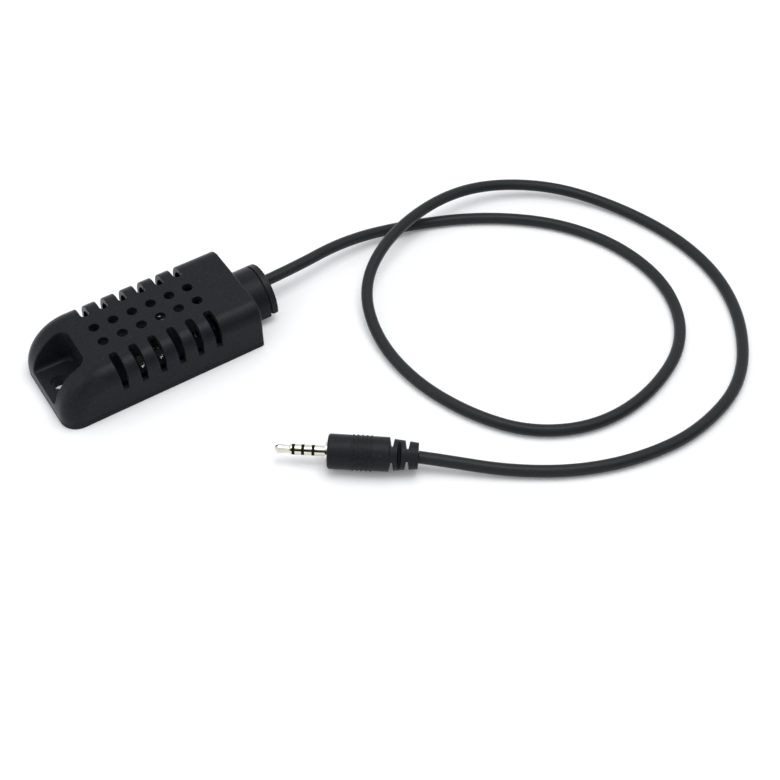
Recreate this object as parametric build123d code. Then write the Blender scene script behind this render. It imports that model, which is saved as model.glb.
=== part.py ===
from build123d import *
import math
import os

# A wall-mounted temperature and humidity sensor on a short cable with a jack plug.
# Millimetres. +X runs from the mounting tab to the cable, +Z is up, and the housing lies on Z = 0.
# The origin is under the middle of the housing and its grommet.

# Housing
housing_length = 53.75       # tab end to the end wall
housing_width = 26.7
housing_height = 13.8
shoulder_radius = 4.5        # round along the long top edges and down the nose
nose_foot = 1.3              # upright part of the nose under its quarter round
wall = 1.3
base_thickness = 1.25
end_edge_radius = 0.6
parting_groove_depth = 0.12
parting_groove_height = 0.12
base_edge_radius = 0.15

# Mounting tab between the two cheeks of the nose
pocket_length = 10.3
cheek_width = 6.95           # from the housing's side to the pocket
pocket_corner_radius = 2.6
pocket_floor_radius = 1.2
pocket_edge_radius = 0.3
tab_height = 3.8
mount_hole_diameter = 4.5
mount_hole_from_end = 4.4

# Vents: each column has a slot, two holes and a slot
vent_columns = 6
vent_pitch = 5.05
vent_first_from_end = 16.4
vent_hole_diameter = 2.6
vent_hole_spacing = 5.25
vent_slot_width = 2.15       # at the top
vent_slot_root = 1.4         # where the slots end on the sides
vent_slot_inner_end = 7.1    # from the centre line
vent_slot_depth = 7.2        # from the top down to where the slots end on the sides
vent_edge_radius = 0.2

# Gland boss and grommet, both flat-bottomed arches
boss_length = 5.55
boss_radius = 7.6
boss_bottom = 2.5
boss_edge_radius = 0.3
arch_center_height = 4.0
grommet_groove = 0.3
grommet_neck_inset = 0.5
flange_thickness = 1.7
flange_bottom = 3.0
flange_edge_radius = 0.35
collar_thickness = 1.5
collar_overlap = 0.8         # how far the inner collar reaches past the bore
grommet_clearance = 0.1

# Cable
cable_diameter = 3.0
cable_height = 7.0           # of its axis where it leaves the grommet
cable_clearance = 0.1
cable_tail = 1.3             # bare end inside the collar

# Base cover details
lip_height = 1.2
lip_thickness = 1.2
lip_clearance = 0.15
post_diameter = 3.2
post_inset = 2.4             # from the board's edges
pin_diameter = 1.4
pin_height = 1.6
pin_clearance = 0.1

# Circuit board
board_thickness = 1.0
cable_above_board = 1.0      # the cable's axis over the board's top
board_side_gap = 1.8
board_tab_gap = 1.5
board_wiring_gap = 2.7       # from the board to the grommet's collar
board_corner_radius = 1.0

# Chip parts: length along Y, width along X, height, and the length of each metal end
capacitor_size = (3.2, 1.6, 0.9)
capacitor_end = 0.5
capacitor_columns = (1, 2)   # the vent columns that they lie beside
capacitor_from_vent = 1.5    # along X
capacitor_from_edge = 3.25   # from the board's edge to the middle of the part
resistor_size = (2.0, 1.25, 0.5)
resistor_end = 0.35
resistor_count = 3
resistor_pitch = 2.6
resistor_start = (31.4, 3.4)  # from the tab end and the centre line

# Humidity element: a ceramic plate held over the board by two pins
humidity_plate = (9.0, 6.0, 0.7)
humidity_center = (21.0, 3.4)
humidity_stand = 1.6
humidity_corner_radius = 0.5
lead_diameter = 0.5
lead_clearance = 0.05
lead_stub = 0.8              # length under the board
humidity_lead_spacing = 5.0

# Temperature bead on two legs
bead_diameter = 2.0
bead_length = 2.2
bead_center = (29.0, -2.2)
bead_stand = 0.9
bead_lead_spacing = 1.0

# Microcontroller: body along X, then legs along both sides
chip_body = (8.6, 3.9, 1.4)
chip_center = (39.6, -4.0)
chip_standoff = 0.15
chip_leads_per_side = 7
chip_lead_pitch = 1.27
chip_lead_width = 0.42
chip_lead_thickness = 0.2
chip_lead_reach = 1.05       # from the body to the toe
chip_lead_shoulder = 0.4
chip_edge_chamfer = 0.2

# Cores of the cable and their solder joints
core_diameter = 0.7
core_pitch_in_cable = 0.75
core_pitch_on_board = 2.2
core_bend_radius = 0.7
core_lead_in = 0.8
core_slope = 1.6
core_flat = 1.9
joint_radius = 0.8
joint_height = 0.75
joint_top_radius = 0.35

# Jack plug, measured from its tip along its axis
shaft_radius = 1.25
tip_length = 4.0
tip_nose_radius = 0.55
tip_nose_length = 0.8
tip_bulge_radius = 1.15
tip_waist_radius = 0.85
tip_collar_length = 0.35
tip_cone_length = 0.3
band_length = 0.72
front_ring_length = 1.5
rear_ring_length = 1.7
sleeve_length = 2.5
flange_radius = 2.25
flange_length = 0.5
shank_radius = 1.8
shank_length = 4.0
core_rod_radius = 0.4
core_rod_clearance = 0.03

# Overmoulded grip and its slotted strain relief
grip_length = 14.2
grip_front_radius = 4.15
grip_rear_radius = 4.05
grip_edge_radius = 0.6
grip_rear_edge_radius = 0.4
ridge_count = 5
ridge_pitch = 1.06
ridge_height = 0.15
ridge_width = 0.7
ridge_start = 5.9
relief_length = 6.9
relief_front_radius = 3.8
relief_rear_radius = 3.1
relief_step = 0.4
relief_roll = -50            # turn of the slots about the plug's axis
slot_depth = 1.9
slot_mouth = 1.05
slot_root = 0.5
slot_pairs = ((0.7, 0), (2.5, 90), (4.3, 0))  # from the grip's rear, and the turn of each pair

# Where the plug lies: its tip on the floor plan, and the turn of its axis
plug_tip_place = (7.3, -46.4)
plug_turn = -36.8
plug_axis_height = 4.3
cable_run_at_plug = 5.0

# Cable route between its two ends: points chosen to follow the loose loops, axis heights included
cable_route = [
    (38, 0, 7), (58, 4, 5), (78, 2.8, 1.6), (96.3, -5, 1.6), (112.3, -18, 1.6), (121.3, -35, 1.6),
    (122.3, -54, 1.6), (113, -70.7, 1.6), (95, -79.2, 1.6), (77, -80.5, 1.6), (62.3, -74, 1.6),
    (53, -61.5, 1.6), (47.3, -45, 1.6), (47.3, -28, 2.2), (52.7, -13.5, 5), (65.2, -4.3, 7.9),
    (84, 1.6, 7.9), (102.1, 2, 5.2), (119.2, -7.1, 3.2), (130.3, -21.7, 1.8), (136.4, -40, 1.6),
    (136.2, -58, 1.6), (129, -74.8, 1.6), (115, -89, 1.6), (96, -95, 1.6), (79, -93.7, 1.6),
    (64, -88.6, 1.6), (50.6, -79.8, 1.7),
]

# Places along X, from the tab end to the grommet's outer face
overall_length = housing_length + boss_length + grommet_groove + flange_thickness
x_tab = -overall_length / 2
x_nose = x_tab + housing_height - nose_foot
x_end = x_tab + housing_length
x_boss = x_end + boss_length
x_flange = x_boss + grommet_groove
x_face = x_flange + flange_thickness
x_pocket = x_tab + pocket_length
pocket_width = housing_width - 2 * cheek_width
vent_slot_bottom = housing_height - vent_slot_depth
x_collar = x_end - wall - collar_thickness
x_cable = x_collar - cable_tail
x_board = x_pocket + wall + board_tab_gap
x_board_end = x_collar - board_wiring_gap
board_length = x_board_end - x_board
board_width = housing_width - 2 * (wall + board_side_gap)
board_top = cable_height - cable_above_board
board_bottom = board_top - board_thickness
post_height = board_bottom - base_thickness
beyond = 1.0                 # how far a cutting tool runs past what it cuts
touching = 1e-3              # how near an edge lies to a face that it is on


def slab(z_low, z_high):
    # A block wider and longer than the housing, between two heights
    size_x = overall_length + 2 * beyond
    size_y = housing_width + 2 * beyond
    return Pos(0, 0, (z_low + z_high) / 2) * Box(size_x, size_y, z_high - z_low)


def cross_section(inset):
    height = housing_height - inset
    block = Pos(0, height / 2) * Rectangle(housing_width - 2 * inset, height)
    return fillet(block.vertices().group_by(Axis.Y)[-1], shoulder_radius - inset)


def housing_form(inset=0.0, end_inset=0.0):
    # The cross-section runs straight to the end wall, and turns a quarter round to form the nose
    section = Plane.YZ.offset(x_nose) * cross_section(inset)
    straight = extrude(section, x_end - end_inset - x_nose)
    upper = straight.faces().sort_by(Axis.X)[0] & slab(nose_foot, housing_height)
    nose = revolve(upper, Axis((x_nose, 0, nose_foot), (0, -1, 0)), 90)
    foot = extrude(nose.faces().sort_by(Axis.Z)[0], nose_foot, dir=(0, 0, -1))
    return straight + nose + foot


def outer_form(inset=0.0):
    # The housing's outside, with the edges of its end wall rounded
    body = housing_form(inset, inset)
    end_wall = body.faces().sort_by(Axis.X)[-1]
    return fillet(end_wall.edges().filter_by(lambda e: e.center().Z > touching), end_edge_radius)


def pocket_block(inset, z_low):
    # The space over the tab, or that space with a wall round it when inset is negative
    reach = pocket_length - inset + beyond
    width = pocket_width - 2 * inset
    plan = Pos(x_tab - beyond + reach / 2, 0) * Rectangle(reach, width)
    plan = fillet(plan.vertices().group_by(Axis.X)[-1], pocket_corner_radius)
    return Pos(0, 0, z_low) * extrude(plan, housing_height - z_low + beyond)


def pocket():
    block = pocket_block(0, tab_height)
    floor_edges = block.edges().group_by(Axis.Z)[0].sort_by(Axis.X)[1:]
    return fillet(floor_edges, pocket_floor_radius)


def arch(radius, bottom):
    center = Pos(0, arch_center_height)
    body = center * Circle(radius) + center * Pos(0, -radius) * Rectangle(2 * radius, 2 * radius)
    below = Pos(0, bottom - 2 * radius) * Rectangle(4 * radius, 4 * radius)
    return body - below


def arch_bar(x_start, x_stop, inset, bottom):
    section = Plane.YZ.offset(x_start) * arch(boss_radius - inset, bottom + inset)
    return extrude(section, x_stop - x_start)


def vent_x(column):
    return x_tab + vent_first_from_end + column * vent_pitch


def vent_cuts():
    hole = Pos(0, 0, vent_slot_bottom) * extrude(Circle(vent_hole_diameter / 2), housing_height)
    slot_end = vent_slot_inner_end + vent_slot_width / 2
    slot_reach = housing_width / 2 + beyond - slot_end
    plan = Pos(0, slot_end) * Circle(vent_slot_root / 2)
    plan += Pos(0, slot_end + slot_reach / 2) * Rectangle(vent_slot_root, slot_reach)
    draft = math.degrees(math.atan2((vent_slot_width - vent_slot_root) / 2, vent_slot_depth))
    slot = Pos(0, 0, vent_slot_bottom) * extrude(plan, vent_slot_depth + beyond, taper=-draft)
    cuts = []
    for column in range(vent_columns):
        place = Pos(vent_x(column), 0, 0)
        cuts += [place * Pos(0, side * vent_hole_spacing / 2) * hole for side in (-1, 1)]
        cuts += [place * slot, place * Rot(0, 0, 180) * slot]
    return cuts


def mount_hole():
    return Pos(x_tab + mount_hole_from_end, 0, 0) * Cylinder(mount_hole_diameter / 2, 4 * tab_height)


def upper_shell():
    boss = arch_bar(x_end - wall, x_boss, 0, boss_bottom)
    boss = fillet(boss.faces().sort_by(Axis.X)[-1].edges(), boss_edge_radius)
    cavity = housing_form(wall, wall) - pocket_block(-wall, 0)
    groove_slab = slab(base_thickness, base_thickness + parting_groove_height)
    groove = (outer_form() - outer_form(parting_groove_depth)) & groove_slab
    bore = arch_bar(x_end - wall - beyond, x_boss + beyond, wall, boss_bottom)
    body = outer_form() - cavity + boss - bore
    body = body - slab(-beyond, base_thickness) - groove - pocket() - mount_hole()
    body = body - vent_cuts()
    body = fillet(outside_edges(body, at_vent), vent_edge_radius)
    return fillet(outside_edges(body, at_pocket), pocket_edge_radius)


def at_vent(point):
    reach = max(vent_hole_diameter, vent_slot_width) / 2 + touching
    nearest = min(abs(point.X - vent_x(column)) for column in range(vent_columns))
    return nearest < reach and point.Z > vent_slot_bottom - touching


def at_pocket(point):
    inside = abs(point.Y) < pocket_width / 2 + touching and point.X < x_pocket + touching
    return inside and point.Z > tab_height - touching


def outside_edges(body, place):
    # The edges that a cut leaves on the outside of the housing, which the mould rounds a little
    skin = housing_form().faces()

    def chosen(edge):
        middle = edge.position_at(0.5)
        return place(middle) and min(face.distance_to(middle) for face in skin) < touching

    return body.edges().filter_by(chosen)


def post_places():
    x_span = board_length - 2 * post_inset
    y_span = board_width - 2 * post_inset
    center = Pos((x_board + x_board_end) / 2, 0, 0)
    return [center * place for place in GridLocations(x_span, y_span, 2, 2)]


def base_cover():
    plate = outer_form() & slab(0, base_thickness)
    plate = fillet(plate.edges().group_by(Axis.Z)[0], base_edge_radius)
    fit = wall + lip_clearance
    rim = housing_form(fit, fit) - housing_form(fit + lip_thickness, fit + lip_thickness)
    rim = rim & slab(base_thickness - beyond, base_thickness + lip_height)
    rim = rim - pocket_block(-wall - lip_clearance - lip_thickness, -beyond)
    cover = plate + rim - mount_hole()
    post = Pos(0, 0, base_thickness) * extrude(Circle(post_diameter / 2), post_height)
    pin = Pos(0, 0, board_bottom) * extrude(Circle(pin_diameter / 2), pin_height)
    for place in post_places():
        cover += place * (post + pin)
    return cover


def cable_grommet():
    collar = arch_bar(x_collar, x_end - wall, wall - collar_overlap, boss_bottom)
    seat = arch_bar(x_end - wall, x_boss, wall + grommet_clearance, boss_bottom)
    neck = arch_bar(x_boss, x_flange, grommet_neck_inset, boss_bottom)
    flange = arch_bar(x_flange, x_face, 0, flange_bottom)
    flange = fillet(flange.faces().sort_by(Axis.X)[-1].edges(), flange_edge_radius)
    bore_radius = cable_diameter / 2 + cable_clearance
    bore_start = Plane.YZ.offset(x_collar - beyond) * Pos(0, cable_height) * Circle(bore_radius)
    return collar + seat + neck + flange - extrude(bore_start, x_face - x_collar + 2 * beyond)


def humidity_lead_places():
    x_center = x_tab + humidity_center[0]
    return [Pos(x_center + side * humidity_lead_spacing / 2, humidity_center[1], 0) for side in (-1, 1)]


def bead_lead_places():
    x_center = x_tab + bead_center[0]
    return [Pos(x_center, bead_center[1] + side * bead_lead_spacing / 2, 0) for side in (-1, 1)]


def circuit_board():
    plan = Pos((x_board + x_board_end) / 2, 0) * Rectangle(board_length, board_width)
    plan = fillet(plan.vertices(), board_corner_radius)
    plan -= [place * Circle(pin_diameter / 2 + pin_clearance) for place in post_places()]
    lead_hole = Circle(lead_diameter / 2 + lead_clearance)
    plan -= [place * lead_hole for place in humidity_lead_places() + bead_lead_places()]
    return Pos(0, 0, board_bottom) * extrude(plan, board_thickness)


def lead(top):
    bottom = board_bottom - lead_stub
    return Pos(0, 0, bottom) * extrude(Circle(lead_diameter / 2), top - bottom)


def humidity_element():
    size_x, size_y, thickness = humidity_plate
    plan = fillet(Rectangle(size_x, size_y).vertices(), humidity_corner_radius)
    place = Pos(x_tab + humidity_center[0], humidity_center[1], board_top + humidity_stand)
    return place * extrude(plan, thickness)


def humidity_leads():
    return [place * lead(board_top + humidity_stand) for place in humidity_lead_places()]


def thermistor():
    half = bead_diameter / 2
    side = Polyline((0, 0), (half * 0.8, 0), (half, half * 0.5), (half, bead_length - half))
    cap = TangentArc((half, bead_length - half), (0, bead_length), tangent=(0, 1))
    outline = make_face(side + cap + Line((0, bead_length), (0, 0)))
    bead = revolve(Plane.XZ * outline, Axis.Z)
    return Pos(x_tab + bead_center[0], bead_center[1], board_top + bead_stand) * bead


def thermistor_leads():
    return [place * lead(board_top + bead_stand) for place in bead_lead_places()]


def chip_place():
    return Pos(x_tab + chip_center[0], chip_center[1], board_top)


def microcontroller():
    size_x, size_y, height = chip_body
    body = Pos(0, 0, chip_standoff + height / 2) * Box(size_x, size_y, height)
    return chip_place() * chamfer(body.edges().group_by(Axis.Z)[-1], chip_edge_chamfer)


def microcontroller_leads():
    size_x, size_y, height = chip_body
    half = chip_lead_thickness / 2
    middle = chip_standoff + height / 2
    knee = size_y / 2 + chip_lead_shoulder
    toe = size_y / 2 + chip_lead_reach
    centre_line = Polyline((size_y / 2 + half, middle), (knee, middle), (knee, half), (toe - half, half))
    profile = Plane.YZ * trace(centre_line, chip_lead_thickness)
    leg = extrude(profile, chip_lead_width / 2, both=True)
    row = [Pos(chip_lead_pitch * (k - (chip_leads_per_side - 1) / 2), 0, 0)
           for k in range(chip_leads_per_side)]
    return [chip_place() * turn * place * leg for turn in (Pos(0, 0, 0), Rot(0, 0, 180)) for place in row]


def chip_part(size, end_length):
    # A chip part lying along Y: its body, and the two metal ends that cap it
    length, width, height = size
    body = Pos(0, 0, height / 2) * Box(width, length - 2 * end_length, height)
    offset = (length - end_length) / 2
    ends = [Pos(0, side * offset, height / 2) * Box(width, end_length, height) for side in (-1, 1)]
    return body, ends


def capacitor_places():
    y_center = capacitor_from_edge - board_width / 2
    return [Pos(vent_x(column) + capacitor_from_vent, y_center, board_top)
            for column in capacitor_columns]


def resistor_places():
    return [Pos(x_tab + resistor_start[0] + k * resistor_pitch, resistor_start[1], board_top)
            for k in range(resistor_count)]


def core_path(index):
    spread = index - 1.5
    y_cable = spread * core_pitch_in_cable
    y_board = spread * core_pitch_on_board
    z_board = board_top + core_diameter / 2
    x_bend = x_cable - core_lead_in
    x_flat = x_bend - core_slope
    points = [(x_cable, y_cable, cable_height), (x_bend, y_cable, cable_height),
              (x_flat, y_board, z_board), (x_flat - core_flat, y_board, z_board)]
    return FilletPolyline(*points, radius=core_bend_radius)


def tube(path, diameter):
    start = Plane(origin=path @ 0, z_dir=path % 0)
    return sweep(start * Circle(diameter / 2), path=path)


def wire_joints(wires):
    joints = []
    for index, wire in enumerate(wires):
        x, y, z = core_path(index) @ 1
        cone = Cone(joint_radius, joint_top_radius, joint_height)
        joints.append(Pos(x, y, board_top + joint_height / 2) * cone - wire)
    return joints


def plug_place():
    return Pos(plug_tip_place[0], plug_tip_place[1], plug_axis_height) * Rot(0, 0, plug_turn)


def turned(points):
    # A piece turned about the plug's axis, from its outline as (along, radius) points
    return revolve(make_face(Polyline(*points, close=True)), Axis.X)


def plug_ring(start, length, radius, bore):
    return turned([(start, bore), (start + length, bore), (start + length, radius), (start, radius)])


def plug_contacts():
    bore = core_rod_radius + core_rod_clearance
    pieces = {}
    x_cone = tip_length - tip_collar_length - tip_cone_length
    x_shank_end = plug_front() + shank_length
    pieces["plug_tip"] = turned([
        (0, 0), (0, tip_nose_radius), (tip_nose_length, tip_bulge_radius), (x_cone, tip_waist_radius),
        (x_cone + tip_cone_length, shaft_radius), (tip_length, shaft_radius),
        (tip_length, core_rod_radius), (x_shank_end, core_rod_radius), (x_shank_end, 0)])
    position = tip_length
    stack = [("plug_front_insulator", band_length), ("plug_front_ring", front_ring_length),
             ("plug_middle_insulator", band_length), ("plug_rear_ring", rear_ring_length),
             ("plug_rear_insulator", band_length)]
    for name, length in stack:
        pieces[name] = plug_ring(position, length, shaft_radius, bore)
        position += length
    x_flange_start = position + sleeve_length
    x_flange_stop = x_flange_start + flange_length
    pieces["plug_sleeve"] = turned([
        (position, bore), (position, shaft_radius), (x_flange_start, shaft_radius),
        (x_flange_start, flange_radius), (x_flange_stop, flange_radius), (x_flange_stop, shank_radius),
        (x_shank_end, shank_radius), (x_shank_end, bore)])
    return pieces


def plug_front():
    # Where the grip's front face is, along the plug's axis
    bands = 3 * band_length
    return tip_length + bands + front_ring_length + rear_ring_length + sleeve_length + flange_length


def plug_length():
    return plug_front() + grip_length + relief_length


def grip_radius(along):
    return grip_front_radius + (grip_rear_radius - grip_front_radius) * along / grip_length


def relief_cut(along, turn):
    # A V-shaped slot across one side of the strain relief
    middle = relief_front_radius + (relief_rear_radius - relief_front_radius) * along / relief_length
    root = middle - slot_depth
    reach = 2 * relief_front_radius
    mouth = slot_root + (slot_mouth - slot_root) * (reach - root) / slot_depth
    outline = Polyline((-slot_root / 2, root), (slot_root / 2, root), (mouth / 2, reach),
                       (-mouth / 2, reach), close=True)
    tool = extrude(Plane.XZ * make_face(outline), reach, both=True)
    return Rot(turn, 0, 0) * Pos(plug_front() + grip_length + along, 0, 0) * tool


def plug_overmould():
    front = plug_front()
    rear = front + grip_length
    end = rear + relief_length
    x_shank_end = front + shank_length
    body = turned([
        (front, shank_radius), (front, grip_front_radius), (rear, grip_rear_radius),
        (rear + relief_step, relief_front_radius), (end, relief_rear_radius), (end, 0),
        (x_shank_end, 0), (x_shank_end, shank_radius)])
    for edge_radius, grip_end in ((grip_edge_radius, grip_front_radius),
                                  (grip_rear_edge_radius, grip_rear_radius)):
        rim = body.edges().filter_by(GeomType.CIRCLE).filter_by(lambda e: abs(e.radius - grip_end) < touching)
        body = fillet(rim, edge_radius)
    for k in range(ridge_count):
        along = ridge_start + k * ridge_pitch
        surface = grip_radius(along)
        x_low = front + along - ridge_width / 2
        body += turned([
            (x_low, surface - ridge_height), (x_low + ridge_width, surface - ridge_height),
            (x_low + ridge_width * 0.75, surface + ridge_height),
            (x_low + ridge_width * 0.25, surface + ridge_height)])
    for along, turn in slot_pairs:
        body -= [relief_cut(along, relief_roll + turn + half_turn) for half_turn in (0, 180)]
    return body


def cable_points():
    heading = math.radians(plug_turn)
    rear_x = plug_tip_place[0] + plug_length() * math.cos(heading)
    rear_y = plug_tip_place[1] + plug_length() * math.sin(heading)
    lead_x = rear_x + cable_run_at_plug * math.cos(heading)
    lead_y = rear_y + cable_run_at_plug * math.sin(heading)
    start = [(x_cable, 0, cable_height)]
    finish = [(lead_x, lead_y, plug_axis_height), (rear_x, rear_y, plug_axis_height)]
    return [Vector(*p) for p in start + cable_route + finish]


def cable():
    # Straight runs joined by the largest arcs that they leave room for
    points = cable_points()
    radii = []
    for before, corner, after in zip(points, points[1:], points[2:]):
        shorter = min((corner - before).length, (after - corner).length)
        turn = math.radians((corner - before).get_angle(after - corner))
        radii.append(0.45 * shorter / math.tan(turn / 2))
    path = FilletPolyline(*points, radius=radii)
    solid = tube(path, cable_diameter)
    expected = math.pi * cable_diameter ** 2 / 4 * path.length
    print("cable length %.1f, smallest radius %.1f, volume over section times length %.5f"
          % (path.length, min(radii), solid.volume / expected))
    print("cable radii", [round(radius) for radius in radii])
    return solid


def build():
    wires = [tube(core_path(index), core_diameter) for index in range(4)]
    capacitor, capacitor_caps = chip_part(capacitor_size, capacitor_end)
    resistor, resistor_caps = chip_part(resistor_size, resistor_end)
    nodes = {
        "upper_shell": upper_shell(),
        "base_cover": base_cover(),
        "cable_grommet": cable_grommet(),
        "circuit_board": circuit_board(),
        "humidity_element": humidity_element(),
        "humidity_leads": humidity_leads(),
        "thermistor": thermistor(),
        "thermistor_leads": thermistor_leads(),
        "microcontroller": microcontroller(),
        "microcontroller_leads": microcontroller_leads(),
        "ceramic_capacitors": [place * capacitor for place in capacitor_places()],
        "capacitor_ends": [place * cap for place in capacitor_places() for cap in capacitor_caps],
        "chip_resistors": [place * resistor for place in resistor_places()],
        "resistor_ends": [place * cap for place in resistor_places() for cap in resistor_caps],
        "wire_joints": wire_joints(wires),
        "plug_overmould": plug_place() * plug_overmould(),
        "cable": cable(),
    }
    nodes.update(zip(("supply_wire", "data_wire", "clock_wire", "ground_wire"), wires))
    nodes.update({name: plug_place() * piece for name, piece in plug_contacts().items()})
    return nodes


def export(nodes):
    os.makedirs("parts", exist_ok=True)
    for name, shape in nodes.items():
        group = shape if isinstance(shape, list) else [shape]
        solids = [solid for piece in group for solid in piece.solids()]
        export_step(solids[0] if len(solids) == 1 else Compound(solids), f"parts/{name}.step")
        print(name, len(solids), "solids")


export(build())
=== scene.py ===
import math
import bpy
from mathutils import Matrix, Vector


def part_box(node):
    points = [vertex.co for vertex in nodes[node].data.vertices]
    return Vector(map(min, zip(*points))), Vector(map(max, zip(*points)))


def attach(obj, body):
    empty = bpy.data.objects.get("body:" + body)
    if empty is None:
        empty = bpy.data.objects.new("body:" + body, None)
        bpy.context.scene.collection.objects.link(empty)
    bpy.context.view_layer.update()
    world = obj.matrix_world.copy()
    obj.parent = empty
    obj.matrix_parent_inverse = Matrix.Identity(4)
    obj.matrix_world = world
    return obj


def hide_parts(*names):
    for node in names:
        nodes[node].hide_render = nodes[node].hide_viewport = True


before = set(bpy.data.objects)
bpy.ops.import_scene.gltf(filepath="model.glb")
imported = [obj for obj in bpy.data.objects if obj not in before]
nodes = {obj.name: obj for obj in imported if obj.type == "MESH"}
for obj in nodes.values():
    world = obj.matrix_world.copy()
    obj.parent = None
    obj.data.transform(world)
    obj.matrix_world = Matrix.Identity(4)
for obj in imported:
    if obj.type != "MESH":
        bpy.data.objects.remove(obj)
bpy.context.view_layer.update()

scene = bpy.context.scene
scene.view_settings.view_transform = "Standard"
print("frame loaded,", len(nodes), "nodes")


class Field:
    # one output socket; operators on it add Math nodes to its tree
    def __init__(self, tree, socket):
        self.tree = tree
        self.socket = socket

    def maths(self, operation, first, second):
        return self.tree.add("ShaderNodeMath", {"operation": operation}, {0: first, 1: second})

    def __add__(self, other):
        return self.maths("ADD", self, other)

    def __radd__(self, other):
        return self.maths("ADD", other, self)

    def __sub__(self, other):
        return self.maths("SUBTRACT", self, other)

    def __rsub__(self, other):
        return self.maths("SUBTRACT", other, self)

    def __mul__(self, other):
        return self.maths("MULTIPLY", self, other)

    def __rmul__(self, other):
        return self.maths("MULTIPLY", other, self)

    def swing(self, amount):
        # a noise lies about 0.5, so this goes to both sides of zero
        return (self - 0.5) * amount


class Tree:
    # a node tree that is filled by one method
    def __init__(self, nodeTree):
        self.nodeTree = nodeTree
        nodeTree.nodes.clear()

    def add(self, kind, settings=None, sockets=None, out=0):
        node = self.nodeTree.nodes.new(kind)
        for key, value in (settings or {}).items():
            if key == "stops":
                self.setStops(node.color_ramp, value)
            else:
                setattr(node, key, value)
        for key, value in (sockets or {}).items():
            self.feed(node.inputs[key], value)
        return Field(self, node.outputs[out]) if len(node.outputs) else None

    def setStops(self, ramp, stops):
        # a new ramp has two stops, and none here needs more
        for element, (position, level) in zip(ramp.elements, stops):
            element.position = position
            element.color = (level, level, level, 1)

    def feed(self, socket, value):
        if isinstance(value, Field):
            self.nodeTree.links.new(value.socket, socket)
        elif socket.type == "RGBA":
            socket.default_value = (*value, 1)
        else:
            socket.default_value = value

    def mixColour(self, factor, first, second):
        return self.add("ShaderNodeMix", {"data_type": "RGBA"}, {0: factor, 6: first, 7: second}, out=2)

    def place(self):
        return self.add("ShaderNodeTexCoord", out="Object")

    def noise(self, scale, detail, roughness):
        return self.add("ShaderNodeTexNoise", {"noise_dimensions": "3D"},
                        {"Vector": self.place(), "Scale": scale, "Detail": detail, "Roughness": roughness},
                        out="Fac")

    def ramp(self, value, low, high):
        # 0 up to low, 1 from high on
        return self.add("ShaderNodeValToRGB", {"stops": [(low, 0), (high, 1)]}, {0: value})

    def bump(self, height, distance):
        return self.add("ShaderNodeBump", {}, {"Height": height, "Distance": distance, "Strength": 1.0})

    def principled(self, sockets):
        shader = self.add("ShaderNodeBsdfPrincipled", {}, sockets, out="BSDF")
        self.add("ShaderNodeOutputMaterial", {}, {"Surface": shader})


def newMaterial(name):
    material = bpy.data.materials.new(name)
    material.use_nodes = True
    return material, Tree(material.node_tree)


# Moulded plastic: a fine spark-eroded grain, slow drifts of gloss and tone, and a few pale specks of dust
mouldPlan = {
    "cloudTone": 0.2, "mottleTone": 0.45, "grainTone": 0.35,  # shares of the tone
    "mottleFrom": 0.32, "mottleTo": 0.68, "dustEdge": 0.05, "fineTimes": 2.3, "fineShare": 0.3,
}
plasticLooks = {
    "housing": {
        "dark": (0.0078, 0.0086, 0.01), "light": (0.0181, 0.02, 0.0235), "dust": (0.07, 0.072, 0.076),
        "grainScale": 5200, "grainDepth": 0.00003, "mottleScale": 1900, "cloudScale": 60,
        "dustScale": 900, "dustFrom": 0.7, "dustAmount": 0.1,
        "rough": 0.28, "roughDrift": 0.08, "roughGrain": 0.12, "ior": 1.18,
    },
    "base": {
        "dark": (0.0102, 0.0111, 0.0131), "light": (0.019, 0.0207, 0.0244), "dust": (0.07, 0.072, 0.076),
        "grainScale": 6200, "grainDepth": 0.00002, "mottleScale": 2100, "cloudScale": 45,
        "dustScale": 900, "dustFrom": 0.7, "dustAmount": 0.1,
        "rough": 0.48, "roughDrift": 0.08, "roughGrain": 0.1, "ior": 1.18,
    },
    "grommet": {
        "dark": (0.0116, 0.0125, 0.0143), "light": (0.0193, 0.0208, 0.0238), "dust": (0.07, 0.07, 0.072),
        "grainScale": 7000, "grainDepth": 0.000012, "mottleScale": 2400, "cloudScale": 120,
        "dustScale": 1100, "dustFrom": 0.68, "dustAmount": 0.2,
        "rough": 0.34, "roughDrift": 0.1, "roughGrain": 0.08, "ior": 1.2,
    },
    "jacket": {
        "dark": (0.0135, 0.0152, 0.0162), "light": (0.0225, 0.0253, 0.027), "dust": (0.07, 0.07, 0.072),
        "grainScale": 4200, "grainDepth": 0.000012, "mottleScale": 2200, "cloudScale": 90,
        "dustScale": 1200, "dustFrom": 0.7, "dustAmount": 0.15,
        "rough": 0.36, "roughDrift": 0.1, "roughGrain": 0.08, "ior": 1.24,
    },
    "grip": {
        "dark": (0.0078, 0.0086, 0.01), "light": (0.0183, 0.0201, 0.0234), "dust": (0.07, 0.07, 0.072),
        "grainScale": 4600, "grainDepth": 0.00003, "mottleScale": 2000, "cloudScale": 140,
        "dustScale": 1000, "dustFrom": 0.68, "dustAmount": 0.15,
        "rough": 0.38, "roughDrift": 0.1, "roughGrain": 0.12, "ior": 1.2,
    },
    "package": {
        "dark": (0.008, 0.008, 0.0085), "light": (0.012, 0.012, 0.0125), "dust": (0.06, 0.06, 0.06),
        "grainScale": 9000, "grainDepth": 0.00001, "mottleScale": 3500, "cloudScale": 300,
        "dustScale": 2000, "dustFrom": 0.72, "dustAmount": 0.2,
        "rough": 0.55, "roughDrift": 0.1, "roughGrain": 0.1, "ior": 1.4,
    },
}


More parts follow.
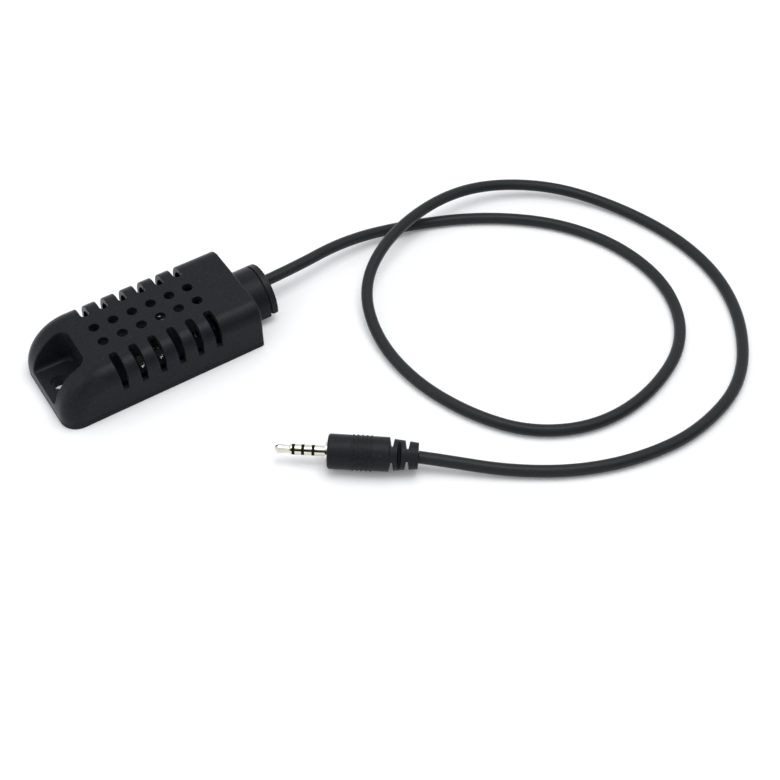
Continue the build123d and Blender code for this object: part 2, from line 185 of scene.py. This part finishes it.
def mouldedPlastic(name, look, mould):
    material, tree = newMaterial(name)
    grain = tree.noise(look["grainScale"], 3, 0.6)
    cloud = tree.noise(look["cloudScale"], 2, 0.5)
    fine = tree.noise(look["grainScale"] * mould["fineTimes"], 2, 0.5)
    mottle = tree.ramp(tree.noise(look["mottleScale"], 2, 0.55), mould["mottleFrom"], mould["mottleTo"])
    dust = tree.ramp(tree.noise(look["dustScale"], 1, 0.4), look["dustFrom"],
                     look["dustFrom"] + mould["dustEdge"])
    shade = cloud * mould["cloudTone"] + mottle * mould["mottleTone"] + grain * mould["grainTone"]
    tone = tree.mixColour(shade, look["dark"], look["light"])
    relief = grain * (1 - mould["fineShare"]) + fine * mould["fineShare"]
    tree.principled({
        "Base Color": tree.mixColour(dust * look["dustAmount"], tone, look["dust"]),
        "Roughness": look["rough"] + cloud.swing(look["roughDrift"]) + grain.swing(look["roughGrain"]),
        "Normal": tree.bump(relief, look["grainDepth"]), "IOR": look["ior"],
    })
    return material


plastics = {name: mouldedPlastic(name, look, mouldPlan) for name, look in plasticLooks.items()}
print("plastics made:", ", ".join(plastics))


# Plated contacts: faint turning lines round the plug's axis, and wear that dulls the plating in patches
contactLook = {
    "colour": (0.7, 0.68, 0.61), "worn": (0.61, 0.575, 0.49), "rough": 0.07, "roughWorn": 0.17,
    "wearScale": 420, "wearFrom": 0.45, "wearTo": 0.7,
    "lineScale": 9000, "lineDepth": 0.0000025, "lineRough": 0.06, "turn": -36.8,
}


def platedContact(look):
    material, tree = newMaterial("contact")
    turned = tree.add("ShaderNodeMapping", {"vector_type": "TEXTURE"},
                      {"Vector": tree.place(), "Rotation": (0, 0, math.radians(look["turn"]))})
    along = tree.add("ShaderNodeSeparateXYZ", {}, {0: turned}, out="X")
    lines = tree.add("ShaderNodeTexNoise", {"noise_dimensions": "1D"},
                     {"W": along, "Scale": look["lineScale"], "Detail": 2}, out="Fac")
    wear = tree.ramp(tree.noise(look["wearScale"], 3, 0.6), look["wearFrom"], look["wearTo"])
    dulling = wear * (look["roughWorn"] - look["rough"])
    tree.principled({
        "Base Color": tree.mixColour(wear, look["colour"], look["worn"]), "Metallic": 1.0,
        "Roughness": look["rough"] + dulling + lines.swing(look["lineRough"]),
        "Normal": tree.bump(lines, look["lineDepth"]),
    })
    return material


# Dark insulating bands between the contacts, and the glazed sensing bead
smoothLooks = {
    "band": {
        "colour": (0.0065, 0.0065, 0.004), "pale": (0.012, 0.0115, 0.008), "cloudScale": 700,
        "rough": 0.55, "roughDrift": 0.12, "ior": 1.12,
    },
    "bead": {
        "colour": (0.012, 0.011, 0.011), "pale": (0.03, 0.028, 0.026), "cloudScale": 700,
        "rough": 0.18, "roughDrift": 0.12, "ior": 1.5,
    },
}


def smoothPlastic(name, look):
    material, tree = newMaterial(name)
    cloud = tree.noise(look["cloudScale"], 3, 0.55)
    tree.principled({
        "Base Color": tree.mixColour(cloud, look["colour"], look["pale"]),
        "Roughness": look["rough"] + cloud.swing(look["roughDrift"]), "IOR": look["ior"],
    })
    return material


# Solder and metal ends: bright and uneven; legs: duller, as they come from the tinning bath
tinLooks = {
    "solder": {
        "colour": (0.86, 0.86, 0.84), "dull": (0.6, 0.6, 0.59), "rough": 0.12, "roughDull": 0.3,
        "blotchScale": 1800, "blotchDepth": 0.00003,
    },
    "legs": {
        "colour": (0.42, 0.42, 0.41), "dull": (0.26, 0.26, 0.255), "rough": 0.34, "roughDull": 0.5,
        "blotchScale": 1800, "blotchDepth": 0.00003,
    },
}


def tinnedMetal(name, look):
    material, tree = newMaterial(name)
    blotch = tree.noise(look["blotchScale"], 3, 0.6)
    tree.principled({
        "Base Color": tree.mixColour(blotch, look["colour"], look["dull"]), "Metallic": 1.0,
        "Roughness": look["rough"] + blotch * (look["roughDull"] - look["rough"]),
        "Normal": tree.bump(blotch, look["blotchDepth"]),
    })
    return material


# Circuit board: near-black solder mask over woven glass, with copper tracks showing faintly under it
boardLook = {
    "mask": (0.0045, 0.0056, 0.0078), "track": (0.008, 0.0098, 0.013), "trackFrom": 0.55, "trackTo": 0.6,
    "lineScale": 950 / 6, "lineShare": 0.6, "padScale": 237.5, "padRandom": 0.7, "padShare": 0.5,
    "weaveScale": 3000, "weaveShare": 0.3, "relief": 0.00003, "rough": 0.42, "roughDrift": 0.1, "ior": 1.25,
}


def boardMask(look):
    material, tree = newMaterial("board")
    place = tree.place()
    pads = tree.add("ShaderNodeTexVoronoi", {"distance": "CHEBYCHEV", "feature": "F1"},
                    {"Vector": place, "Scale": look["padScale"], "Randomness": look["padRandom"]},
                    out="Distance")
    lines = tree.add("ShaderNodeTexWave", {"wave_type": "BANDS", "bands_direction": "X"},
                     {"Vector": place, "Scale": look["lineScale"]}, out="Fac")
    tracks = tree.ramp(lines * look["lineShare"] + pads * look["padShare"], look["trackFrom"], look["trackTo"])
    weave = tree.noise(look["weaveScale"], 2, 0.5)
    relief = tracks * (1 - look["weaveShare"]) + weave * look["weaveShare"]
    tree.principled({
        "Base Color": tree.mixColour(tracks, look["mask"], look["track"]),
        "Roughness": look["rough"] + weave.swing(look["roughDrift"]),
        "Normal": tree.bump(relief, look["relief"]), "IOR": look["ior"],
    })
    return material


# Ceramics of the board: dark chip capacitors and the porous sensing plate
ceramicLooks = {
    "ceramic": {
        "dark": (0.024, 0.021, 0.019), "light": (0.042, 0.037, 0.032), "rough": 0.4, "roughDrift": 0.15,
        "poreScale": 2600, "poreDepth": 0.00002,
    },
    "element": {
        "dark": (0.0075, 0.0085, 0.0088), "light": (0.015, 0.0165, 0.0168), "rough": 0.65, "roughDrift": 0.15,
        "poreScale": 1900, "poreDepth": 0.00002,
    },
}


def ceramicBody(name, look):
    material, tree = newMaterial(name)
    pores = tree.noise(look["poreScale"], 4, 0.65)
    tree.principled({
        "Base Color": tree.mixColour(pores, look["dark"], look["light"]),
        "Roughness": look["rough"] + pores.swing(look["roughDrift"]),
        "Normal": tree.bump(pores, look["poreDepth"]),
    })
    return material


# Insulation of the four cores, a little duller in patches
coreLook = {"driftScale": 800, "dullTimes": 0.8, "rough": 0.38, "roughDrift": 0.2}
coreColours = {
    "redCore": (0.36, 0.016, 0.014), "blackCore": (0.012, 0.012, 0.013),
    "yellowCore": (0.52, 0.34, 0.02), "whiteCore": (0.6, 0.6, 0.57),
}


def coreInsulation(name, colour, look):
    material, tree = newMaterial(name)
    drift = tree.noise(look["driftScale"], 2, 0.5)
    dull = tuple(channel * look["dullTimes"] for channel in colour)
    tree.principled({
        "Base Color": tree.mixColour(drift, dull, colour),
        "Roughness": look["rough"] + drift.swing(look["roughDrift"]),
    })
    return material


contact = platedContact(contactLook)
smooths = {name: smoothPlastic(name, look) for name, look in smoothLooks.items()}
tins = {name: tinnedMetal(name, look) for name, look in tinLooks.items()}
board = boardMask(boardLook)
ceramics = {name: ceramicBody(name, look) for name, look in ceramicLooks.items()}
cores = {name: coreInsulation(name, colour, coreLook) for name, colour in coreColours.items()}

finishes = {
    "upper_shell": plastics["housing"], "base_cover": plastics["base"], "cable_grommet": plastics["grommet"],
    "plug_overmould": plastics["grip"], "plug_sleeve": contact, "plug_rear_ring": contact,
    "plug_front_ring": contact, "plug_tip": contact, "plug_rear_insulator": smooths["band"],
    "plug_middle_insulator": smooths["band"], "plug_front_insulator": smooths["band"],
    "circuit_board": board, "ceramic_capacitors": ceramics["ceramic"], "capacitor_ends": tins["solder"],
    "humidity_element": ceramics["element"], "humidity_leads": tins["legs"], "thermistor": smooths["bead"],
    "thermistor_leads": tins["legs"], "microcontroller": plastics["package"],
    "microcontroller_leads": tins["legs"], "chip_resistors": plastics["package"],
    "resistor_ends": tins["solder"], "supply_wire": cores["redCore"], "data_wire": cores["yellowCore"],
    "clock_wire": cores["whiteCore"], "ground_wire": cores["blackCore"], "wire_joints": tins["solder"],
}
for name, material in finishes.items():
    slots = nodes[name].data.materials
    slots.clear()
    slots.append(material)
print("finishes set on", len(finishes), "nodes")


# Cord: one loose turn and a half on the floor, over itself once, into the plug
cordPlan = {
    "diameter": 0.003, "length": 0.529, "exit": (0.03065, 0, 0.007), "roundSteps": 7, "spanSteps": 16,
    "route": [  # in mm, along the cord from the housing
        (19, 0, 7), (38, 0.2, 7), (58, 4.1, 5), (78, 2.8, 1.6), (96.3, -5, 1.6), (112.3, -18, 1.6),
        (121.3, -35, 1.6), (122.1, -54, 1.6), (112.9, -70.7, 1.6), (95, -79.5, 1.6), (77.1, -80.8, 1.6),
        (62.3, -74, 1.6), (53, -61.5, 1.6), (47.3, -45, 1.6), (47.1, -28, 2.2), (52.5, -13.4, 5),
        (65.2, -4.3, 7.9), (84, 1.6, 7.9), (102.2, 2.4, 5.2), (119.5, -6.7, 3.2), (130.3, -21.7, 1.8),
        (136.3, -40, 1.6), (136, -58, 1.6), (128.8, -74.8, 1.6), (115.1, -89.3, 1.6), (96, -95, 1.6),
        (79, -93.7, 1.6), (64, -88.6, 1.6), (50.5, -79.9, 1.7), (38, -69.5, 3.4), (34.092, -66.443, 3.9),
    ],
    "plugNodes": ["plug_overmould", "plug_sleeve", "plug_rear_insulator", "plug_rear_ring",
                  "plug_middle_insulator", "plug_front_ring", "plug_front_insulator", "plug_tip"],
}


def layCord(plan):
    curve = bpy.data.curves.new("cord", "CURVE")
    curve.dimensions = "3D"
    curve.bevel_depth = plan["diameter"] / 2
    curve.bevel_resolution = plan["roundSteps"]
    curve.resolution_u = plan["spanSteps"]
    curve.use_fill_caps = True
    spline = curve.splines.new("NURBS")
    spline.points.add(len(plan["route"]) - 1)
    for point, place in zip(spline.points, plan["route"]):
        point.co = (*(value / 1000 for value in place), 1)
    spline.order_u = 3
    spline.use_endpoint_u = True
    cord = bpy.data.objects.new("cord", curve)
    scene.collection.objects.link(cord)
    curve.materials.append(plastics["jacket"])
    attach(cord, "root")
    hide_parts("cable")


layCord(cordPlan)
print("cord laid")


# Solder: small uneven beads that hold the chip parts' ends to the board
solderPlans = {
    "capacitorSolder": {
        "node": "capacitor_ends", "parts": 2, "width": 0.0016, "radius": (0.00076, 0.00046, 0.0008),
        "uneven": 0.14, "seed": 4,
    },
    "resistorSolder": {
        "node": "resistor_ends", "parts": 3, "width": 0.00125, "radius": (0.0005, 0.0003, 0.00036),
        "uneven": 0.2, "seed": 9,
    },
}
beadPlan = {
    "segments": 18, "rings": 12,
    "inputs": {"places": "Geometry", "radius": "Vector", "uneven": "Float", "seed": "Int", "metal": "Material"},
}


def beadTree(plan):
    group = bpy.data.node_groups.new("solderBeads", "GeometryNodeTree")
    tree = Tree(group)
    group.interface.new_socket("beads", in_out="OUTPUT", socket_type="NodeSocketGeometry")
    for name, kind in plan["inputs"].items():
        group.interface.new_socket(name, in_out="INPUT", socket_type="NodeSocket" + kind)
    given = {name: tree.add("NodeGroupInput", out=name) for name in plan["inputs"]}
    ball = tree.add("GeometryNodeMeshUVSphere", {},
                    {"Segments": plan["segments"], "Rings": plan["rings"], "Radius": 1.0})
    where = tree.add("GeometryNodeInputPosition")
    x, y, z = (tree.add("ShaderNodeSeparateXYZ", {}, {0: where}, out=axis) for axis in "XYZ")
    flat = tree.add("ShaderNodeCombineXYZ", {}, {0: x, 1: y, 2: z.maths("MAXIMUM", z, 0.0)})
    bead = tree.add("GeometryNodeSetPosition", {}, {"Geometry": ball, "Position": flat})
    vary = tree.add("FunctionNodeRandomValue", {"data_type": "FLOAT_VECTOR"},
                    {0: 1 - given["uneven"], 1: 1 + given["uneven"], "Seed": given["seed"]})
    size = tree.add("ShaderNodeVectorMath", {"operation": "MULTIPLY"}, {0: given["radius"], 1: vary})
    placed = tree.add("GeometryNodeInstanceOnPoints", {},
                      {"Points": given["places"], "Instance": bead, "Scale": size})
    real = tree.add("GeometryNodeRealizeInstances", {}, {0: placed})
    smooth = tree.add("GeometryNodeSetShadeSmooth", {}, {"Geometry": real})
    dressed = tree.add("GeometryNodeSetMaterial", {}, {"Geometry": smooth, "Material": given["metal"]})
    tree.add("NodeGroupOutput", {}, {0: dressed})
    return group


def layBeads(name, plan, group):
    low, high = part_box(plan["node"])
    first = low[0] + plan["width"] / 2
    step = (high[0] - low[0] - plan["width"]) / (plan["parts"] - 1)
    places = [(first + step * k, y, low[2]) for k in range(plan["parts"]) for y in (low[1], high[1])]
    mesh = bpy.data.meshes.new(name)
    mesh.from_pydata(places, [], [])
    beads = bpy.data.objects.new(name, mesh)
    scene.collection.objects.link(beads)
    modifier = beads.modifiers.new("beads", "NODES")
    modifier.node_group = group
    inputs = {item.name: item.identifier for item in group.interface.items_tree if item.in_out == "INPUT"}
    for key in ("radius", "uneven", "seed"):
        modifier[inputs[key]] = plan[key]
    modifier[inputs["metal"]] = tins["solder"]
    shape = beads.evaluated_get(bpy.context.evaluated_depsgraph_get())
    beads.data = bpy.data.meshes.new_from_object(shape)
    beads.modifiers.clear()
    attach(beads, "root")


solderBeads = beadTree(beadPlan)
for name, plan in solderPlans.items():
    layBeads(name, plan, solderBeads)
print("solder laid:", ", ".join(solderPlans))


# Stage: a white table, a soft overhead light with a weak fill, a pale room and black cards behind the camera
stagePlan = {
    "floorSize": 6.0, "floorColour": (0.88, 0.88, 0.88), "floorGlow": 0.1,
    "floorLevel": -0.00003,  # a hair under the part, so that the two don't share a plane
    "floorMiddle": (0.054, -0.04, 0), "fadeFrom": 0.16, "fadeTo": 0.32,  # painted light: the table's glow grows to full white away from here, over the cards' shade
    "horizon": 0.42, "dome": 0.9, "domeFrom": 0.02, "domeTo": 0.75, "roomTint": (0.97, 1.0, 1.035),
    "lamps": {
        "softbox": {"place": (0.085, -0.06, 0.34), "aim": (0.085, -0.06, 0), "size": 0.25, "power": 0.56},
        "fill": {"place": (-0.32, 0.1, 0.3), "aim": (0, 0, 0), "size": 0.25, "power": 0.2},
    },
    "cards": [((0.44, -0.5, 0.22), (0.78, 0.44)), ((-0.48, -0.5, 0.6), (0.4, 1.0))],  # middle, size
    "cardColour": (0.03, 0.03, 0.03),
}


def seenDirectly(tree):
    # 1 on rays from the camera, also by way of a mirror or glass, and 0 on those that light things
    path = [tree.add("ShaderNodeLightPath", out=kind)
            for kind in ("Is Camera Ray", "Is Glossy Ray", "Is Transmission Ray")]
    return path[0] + path[1] + path[2]


def addSheet(name, corners, material):
    mesh = bpy.data.meshes.new(name)
    mesh.from_pydata(corners, [], [(0, 1, 2, 3)])
    mesh.materials.append(material)
    sheet = bpy.data.objects.new(name, mesh)
    scene.collection.objects.link(sheet)
    return sheet


def setFloor(plan):
    material, tree = newMaterial("table")
    # painted light: seen directly, the table glows weakly near the part, so its shadow stays, and fully white
    # away from it, which whitens the shade the cards cast on the far table
    away = tree.add("ShaderNodeVectorMath", {"operation": "DISTANCE"},
                    {0: tree.place(), 1: plan["floorMiddle"]}, out="Value")
    glowing = tree.add("ShaderNodeMapRange", {"interpolation_type": "SMOOTHSTEP"},
                       {0: away, 1: plan["fadeFrom"], 2: plan["fadeTo"], 3: plan["floorGlow"], 4: 1.0})
    paper = tree.add("ShaderNodeBsdfDiffuse", {}, {"Color": plan["floorColour"]})
    glow = tree.add("ShaderNodeEmission", {}, {"Color": (1, 1, 1), "Strength": seenDirectly(tree) * glowing})
    both = tree.add("ShaderNodeAddShader", {}, {0: paper, 1: glow})
    tree.add("ShaderNodeOutputMaterial", {}, {"Surface": both})
    half, level = plan["floorSize"] / 2, plan["floorLevel"]
    addSheet("table", [(-half, -half, level), (half, -half, level), (half, half, level), (-half, half, level)],
             material)


def setRoom(plan):
    world = bpy.data.worlds.new("room")
    world.use_nodes = True
    scene.world = world
    tree = Tree(world.node_tree)
    direction = tree.add("ShaderNodeTexCoord", out="Generated")
    height = tree.add("ShaderNodeSeparateXYZ", {}, {0: direction}, out="Z")
    level = tree.add("ShaderNodeMapRange", {"interpolation_type": "SMOOTHSTEP"},
                     {0: height, 1: plan["domeFrom"], 2: plan["domeTo"], 3: plan["horizon"], 4: plan["dome"]})
    rays = seenDirectly(tree)
    strength = level * (1 - rays) + rays
    tint = tree.mixColour(rays, plan["roomTint"], (1, 1, 1))
    sky = tree.add("ShaderNodeBackground", {}, {"Color": tint, "Strength": strength})
    tree.add("ShaderNodeOutputWorld", {}, {"Surface": sky})


def hangLamps(plan):
    for name, given in plan["lamps"].items():
        light = bpy.data.lights.new(name, "AREA")
        light.shape = "DISK"
        light.size = given["size"]
        light.energy = given["power"]
        lamp = bpy.data.objects.new(name, light)
        place = Vector(given["place"])
        beam = Vector(given["aim"]) - place
        lamp.matrix_world = Matrix.Translation(place) @ beam.to_track_quat("-Z", "Y").to_matrix().to_4x4()
        lamp.visible_camera = False
        scene.collection.objects.link(lamp)


def standCards(plan):
    material, tree = newMaterial("card")
    felt = tree.add("ShaderNodeBsdfDiffuse", {}, {"Color": plan["cardColour"]})
    tree.add("ShaderNodeOutputMaterial", {}, {"Surface": felt})
    for (x, y, z), (width, height) in plan["cards"]:
        left, right = x - width / 2, x + width / 2
        foot, top = z - height / 2, z + height / 2
        card = addSheet("card", [(left, y, top), (right, y, top), (right, y, foot), (left, y, foot)], material)
        card.visible_camera = False


setFloor(stagePlan)
setRoom(stagePlan)
hangLamps(stagePlan)
standCards(stagePlan)
print("stage set")


# Camera: the photograph's own place and lens
cameraPlan = {
    "place": (-0.07388, -0.21620, 0.24450), "turn": -33.687, "tilt": 49.589, "roll": 0.686,
    "lens": 60.185, "sensor": 36.0, "nearest": 0.01,
}


def setCamera(plan):
    data = bpy.data.cameras.new("camera")
    data.lens = plan["lens"]
    data.sensor_width = plan["sensor"]
    data.clip_start = plan["nearest"]
    camera = bpy.data.objects.new("camera", data)
    scene.collection.objects.link(camera)
    turn = Matrix.Rotation(math.radians(plan["turn"]), 4, "Z")
    tilt = Matrix.Rotation(math.radians(90 - plan["tilt"]), 4, "X")
    roll = Matrix.Rotation(math.radians(plan["roll"]), 4, "Z")
    camera.matrix_world = Matrix.Translation(Vector(plan["place"])) @ turn @ tilt @ roll
    scene.camera = camera


setCamera(cameraPlan)
print("camera set")

bpy.context.view_layer.update()
